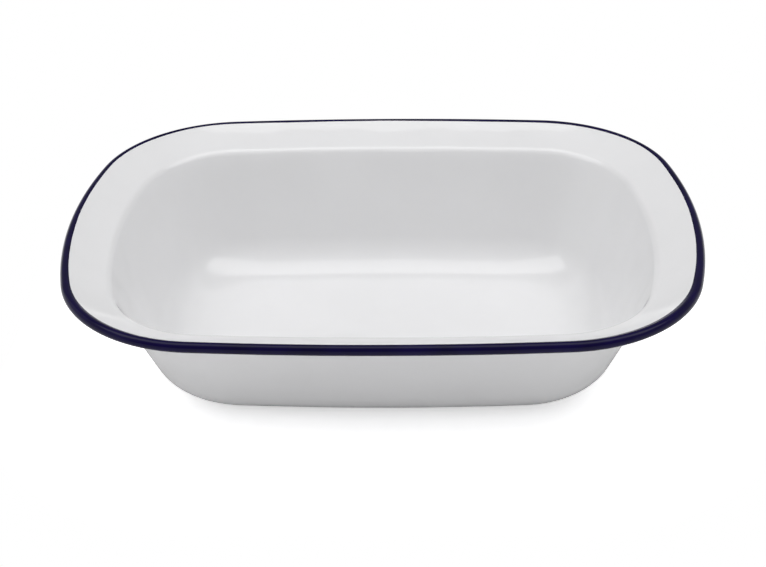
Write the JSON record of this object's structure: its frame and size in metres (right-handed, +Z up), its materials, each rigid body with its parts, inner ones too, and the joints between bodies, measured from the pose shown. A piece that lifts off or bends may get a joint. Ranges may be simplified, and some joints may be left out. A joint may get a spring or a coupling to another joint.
{
  "type": "pie dish",
  "caption": "Oblong white enamelled steel pie dish with leaning walls, a wide rising lip and a rolled blue rim, for baking and serving.",
  "frame": {"origin": "centre of the flat base, on the table", "axes": "+X along the length, +Y along the width, +Z up"},
  "size_m": [0.28, 0.212, 0.064],
  "materials": {
    "steel": "satin",
    "white_enamel": "gloss",
    "blue_enamel": "gloss"
  },
  "bodies": {
    "root": {"steel_pan": "steel", "inside_enamel": "white_enamel", "outside_enamel": "white_enamel", "rim_enamel": "blue_enamel"}
  },
  "joints": []
}
